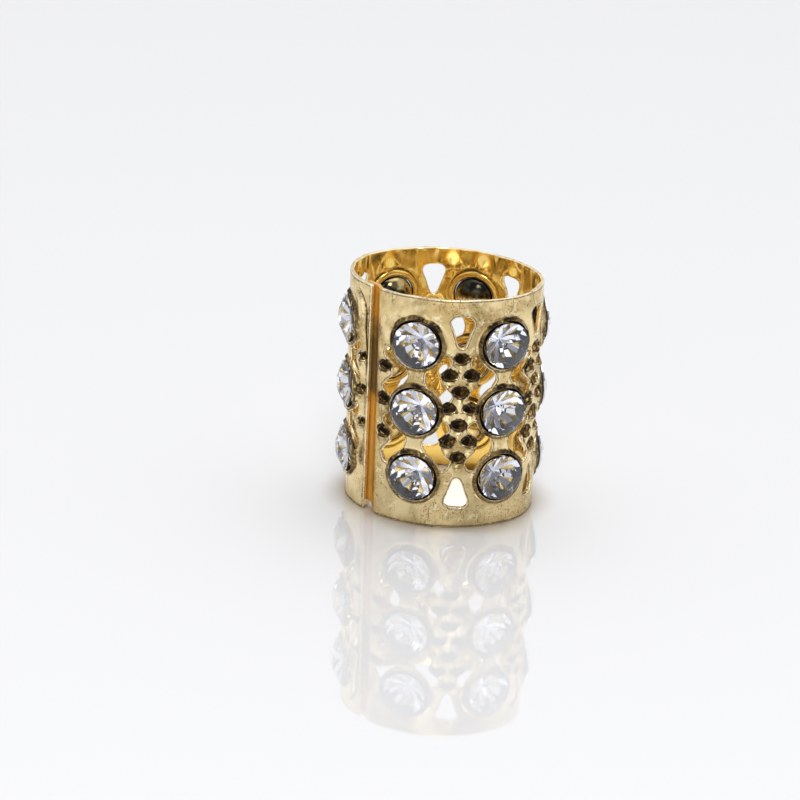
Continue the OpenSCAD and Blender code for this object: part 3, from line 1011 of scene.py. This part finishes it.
# Making
giltMaterial = giltFinish("gilt_brass_worn")
strip = newPiece("gilt_strip", stripMesh(), giltMaterial)
print("gilt_strip", len(strip.data.polygons), "faces")
pans = spreadPieces("stone_pans", panMesh(), stonePlaces, pan, giltMaterial)
tongues = spreadPieces("scale_tongues", tongueMesh(), scalePlaces, tongue, giltMaterial)
stones = spreadPieces("cut_stones", stoneMesh(), stonePlaces, stone, glassFinish(), foilFinish())
domes = spreadPieces("stone_backs", domeMesh(), stonePlaces, dome, lacquerFinish())

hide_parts("cuff")
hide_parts(*["stone_%d_%s" % (c + 1, row) for c in range(ring["columns"])
                      for row in ("low", "mid", "top")])
for piece in (strip, pans, tongues, stones, domes):
    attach(piece, "root")
print("pieces done")

# Floor, light and camera
stageSizes = {"floor": 1.6, "drop": 0.00002, "shadeReach": 0.003}
# colours of the painted contact shadow near the ring and of the floor itself
floorColors = {"near": (0.46, 0.40, 0.31, 1), "far": (0.84, 0.845, 0.855, 1)}
half, drop = stageSizes["floor"] / 2, stageSizes["drop"]
floorMesh = bpy.data.meshes.new("floor")
corners = [(x * half, y * half, -drop) for x, y in ((-1, -1), (1, -1), (1, 1), (-1, 1))]
floorMesh.from_pydata(corners, [], [(0, 1, 2, 3)])
floorMaterial, floorTree, floorShader = newFinish("pale_gloss_floor")
# painted contact shadow: the floor is darker and warmer close to the ring
openness = addNode(floorTree, "ShaderNodeAmbientOcclusion", {"Distance": stageSizes["shadeReach"]})
openness = rangeOf(floorTree, openness.outputs["AO"], 0.40, 0.90)
floorColor = blendOf(floorTree, openness, floorColors["near"], floorColors["far"])
floorTree.links.new(floorColor, floorShader.inputs["Base Color"])
floorShader.inputs["Roughness"].default_value = 0.03
floorShader.inputs["Metallic"].default_value = 0.15
floor = newPiece("floor", floorMesh, floorMaterial)
floor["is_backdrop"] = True

# The room: pale walls with grey cards, a dark patch in front above, and two bright areas
room = {
    "wall": (0.875, 0.88, 0.895, 1),
    "card": (0.36, 0.37, 0.40, 1),
    "dark": (0.21, 0.215, 0.24, 1),
    "darkWay": (0.15, -0.68, 0.72),
    "top": (1.7, 1.67, 1.62, 1),
    "topWay": (0.05, 0.25, 0.967),
    "front": (1.5, 1.5, 1.52, 1),
    "frontWay": (0.04, -0.966, 0.255),
}
world = bpy.data.worlds.new("studio")
scene.world = world
world.use_nodes = True
worldTree = world.node_tree
background = worldTree.nodes["Background"]
way = worldTree.nodes.new("ShaderNodeTexCoord").outputs["Generated"]


def patchOf(direction, low, high):
    # 1 towards the direction, 0 away from it; low and high are cosines.
    facing = addNode(worldTree, "ShaderNodeVectorMath", {0: way, 1: direction}, operation="DOT_PRODUCT")
    return rangeOf(worldTree, facing.outputs["Value"], low, high)


wayParts = addNode(worldTree, "ShaderNodeSeparateXYZ", {0: way}).outputs
cards = rangeOf(worldTree, noiseOn(worldTree, way, 2.2, 1, 0.4), 0.45, 0.55)
cards = mathOf(worldTree, "MULTIPLY", cards, rangeOf(worldTree, wayParts["Z"], 0.34, 0.52))
cards = mathOf(worldTree, "MULTIPLY", cards, rangeOf(worldTree, wayParts["Y"], -0.45, 0.1, 1.0, 0.0))
roomColor = blendOf(worldTree, cards, room["wall"], room["card"])
roomColor = blendOf(worldTree, patchOf(room["darkWay"], 0.66, 0.80), roomColor, room["dark"])
roomColor = blendOf(worldTree, patchOf(room["topWay"], 0.84, 0.95), roomColor, room["top"])
roomColor = blendOf(worldTree, patchOf(room["frontWay"], 0.905, 0.965), roomColor, room["front"])
worldTree.links.new(roomColor, background.inputs["Color"])
background.inputs["Strength"].default_value = 1.0


def newLamp(name, kind, power, seen=False):
    data = bpy.data.lights.new(name, kind)
    data.energy = power
    lamp = bpy.data.objects.new(name, data)
    lamp.visible_glossy = seen
    lamp.visible_transmission = seen
    scene.collection.objects.link(lamp)
    return lamp, data


def softLight(name, place, aim, size, power, seen=False):
    lamp, data = newLamp(name, "AREA", power, seen)
    data.size = size
    lamp.location = place
    lamp.rotation_euler = (Vector(aim) - Vector(place)).to_track_quat("-Z", "Y").to_euler()


softLight("top_soft", (0.1, 0.25, 0.9), (0, 0.1, 0), 1.6, 1.2)
beam, beamData = newLamp("top_beam", "SUN", 0.20)
beamData.angle = math.radians(22)
beam.rotation_euler = Vector((0.14, 0.22, 1)).to_track_quat("Z", "Y").to_euler()
# down into the mouth
well, wellData = newLamp("well_beam", "SPOT", 0.42)
wellData.spot_size = math.radians(6.2)
wellData.spot_blend = 0.6
wellData.shadow_soft_size = 0.002
well.location = (0, 0, 0.1)
softLight("sparkle", (0.045, -0.166, 0.246), (0, 0, 0.008), 0.085, 0.20, seen=True)

# As fitted to the photo's two rims: degrees and millimetres
view = {"lens": 108.0, "azimuth": 11.915, "elevation": 22.847, "distance": 160.165, "aimHeight": 8.0,
        "yaw": 0.99, "pitch": -0.386, "roll": -2.366}


def turned(v, axis, angle):
    return Matrix.Rotation(math.radians(angle), 3, axis) @ v


az, el = math.radians(view["azimuth"]), math.radians(view["elevation"])
base = Vector((math.sin(az), -math.cos(az), 0))
eyeHeight = view["aimHeight"] + view["distance"] * math.sin(el)
eye = base * view["distance"] * math.cos(el) + Vector((0, 0, eyeHeight))
ahead = -base * math.cos(el) - Vector((0, 0, math.sin(el)))
right = Vector((math.cos(az), math.sin(az), 0))
up = right.cross(ahead)
ahead, right = turned(ahead, up, view["yaw"]), turned(right, up, view["yaw"])
ahead, up = turned(ahead, right, view["pitch"]), turned(up, right, view["pitch"])
right, up = turned(right, ahead, view["roll"]), turned(up, ahead, view["roll"])
cameraData = bpy.data.cameras.new("photo_view")
cameraData.lens = view["lens"]
cameraData.sensor_width = 36.0
cameraData.clip_start = 0.01
cameraData.clip_end = 10
camera = bpy.data.objects.new("photo_view", cameraData)
camera.matrix_world = Matrix.Translation(eye * mm) @ Matrix((right, up, -ahead)).transposed().to_4x4()
scene.collection.objects.link(camera)
scene.camera = camera
scene.view_settings.view_transform = "Standard"

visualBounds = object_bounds()
for label, box in (("CAD", cadBounds), ("visual", visualBounds)):
    print(label, "box in mm", [[round(c / mm, 2) for c in v] for v in box])
